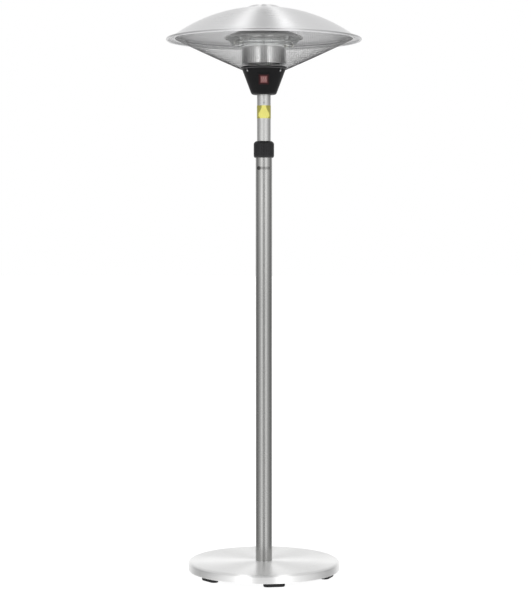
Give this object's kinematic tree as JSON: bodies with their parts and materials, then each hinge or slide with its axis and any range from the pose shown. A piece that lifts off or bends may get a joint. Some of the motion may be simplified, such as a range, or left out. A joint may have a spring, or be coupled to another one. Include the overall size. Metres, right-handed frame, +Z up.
{
  "type": "outdoor heater",
  "caption": "Free-standing electric outdoor heater: weighted round base, telescopic pole with twist-lock collar, and a mushroom head with ring lamps, wire guard and wide metal canopy.",
  "frame": {"origin": "on the floor, under the pole's axis", "axes": "+Z up along the pole, front of the head (badge side) to -Y, cable gland and switches to +Y"},
  "size_m": [0.64, 0.64, 1.8726],
  "materials": {
    "spun_steel": "spun satin stainless",
    "tube_steel": "brushed along the tube",
    "column_steel": "polished",
    "canopy_aluminium": "spun, bright satin",
    "shield_steel": "satin",
    "hood_steel": "heat-darkened",
    "guard_wire": "bright drawn wire",
    "guard_weave": "woven bright wire",
    "inner_metal": "plain",
    "plated_steel": "zinc plated",
    "plate_paint": "satin black",
    "ballast": "cast concrete",
    "black_plastic": "fine texture",
    "collar_plastic": "fine texture",
    "pale_plastic": "plain",
    "switch_plastic": "semi-gloss",
    "badge_red": "glossy",
    "label_yellow": "coated",
    "foot_rubber": "matt",
    "quartz": "clear",
    "filament_wire": "plain",
    "white_ceramic": "unglazed",
    "lead_sleeve": "braided glass fibre"
  },
  "bodies": {
    "stand": {"base_cover": "spun_steel", "ballast_weight": "ballast", "base_plate": "plate_paint", "rubber_feet": "foot_rubber", "foot_screws": "plated_steel", "pole_foot_plug": "inner_metal", "plug_screw": "plated_steel", "base_bolt": "plated_steel", "base_bolt_washer": "plated_steel", "outer_pole": "tube_steel", "cable_gland": "black_plastic", "pole_bush": "black_plastic"},
    "collar": {"lock_collar": "collar_plastic"},
    "glide": {"glide_ring": "pale_plastic"},
    "head": {"inner_tube": "tube_steel", "stop_rings": "plated_steel", "head_socket": "inner_metal", "neck_screw": "plated_steel", "label_band": "label_yellow", "housing_shell": "black_plastic", "badge": "badge_red", "switch_bodies": "switch_plastic", "terminal_block": "pale_plastic", "tilt_switch": "black_plastic", "guard_latches": "plated_steel", "latch_screws": "plated_steel", "column_foot": "plate_paint", "column_base": "inner_metal", "tie_bolt": "plated_steel", "tie_washer": "plated_steel", "column": "column_steel", "column_bridge": "inner_metal", "canopy_spacer": "inner_metal", "canopy_nut": "plated_steel", "canopy": "canopy_aluminium", "canopy_washer": "plated_steel", "canopy_screw": "plated_steel", "heat_shield": "shield_steel", "shield_cone": "hood_steel", "lamp_upper": "quartz", "lamp_lower": "quartz", "filament_upper": "filament_wire", "filament_lower": "filament_wire", "lamp_caps": "white_ceramic", "lamp_brackets": "plated_steel", "bracket_screws": "plated_steel", "lamp_hangers": "plated_steel", "lead_bushings": "white_ceramic", "lamp_leads": "lead_sleeve", "guard_ring": "guard_wire", "guard_lower_ring": "guard_wire", "guard_mesh": "guard_weave", "guard_clips": "plated_steel"},
    "rocker_left": {"rocker_left": "switch_plastic"},
    "rocker_right": {"rocker_right": "switch_plastic"}
  },
  "joints": [
    {"name": "collar_twist", "type": "hinge", "parent": "stand", "child": "collar", "pos_m": [0, 0, 1.399], "axis": [0, 0, 1], "range_deg": [0, 90]},
    {"name": "mast_slide", "type": "slide", "parent": "stand", "child": "glide", "axis": [0, 0, 1], "range_m": [-0.07, 0.23]},
    {"name": "head_swivel", "type": "hinge", "parent": "glide", "child": "head", "pos_m": [0, 0, 1.006], "axis": [0, 0, 1], "range_deg": [-170, 170]},
    {"name": "rocker_left_press", "type": "hinge", "parent": "head", "child": "rocker_left", "pos_m": [-0.0095, 0.06016, 1.62982], "axis": [1, 0, 0], "range_deg": [0, 20]},
    {"name": "rocker_right_press", "type": "hinge", "parent": "head", "child": "rocker_right", "pos_m": [0.0095, 0.06016, 1.62982], "axis": [1, 0, 0], "range_deg": [0, 20]}
  ]
}
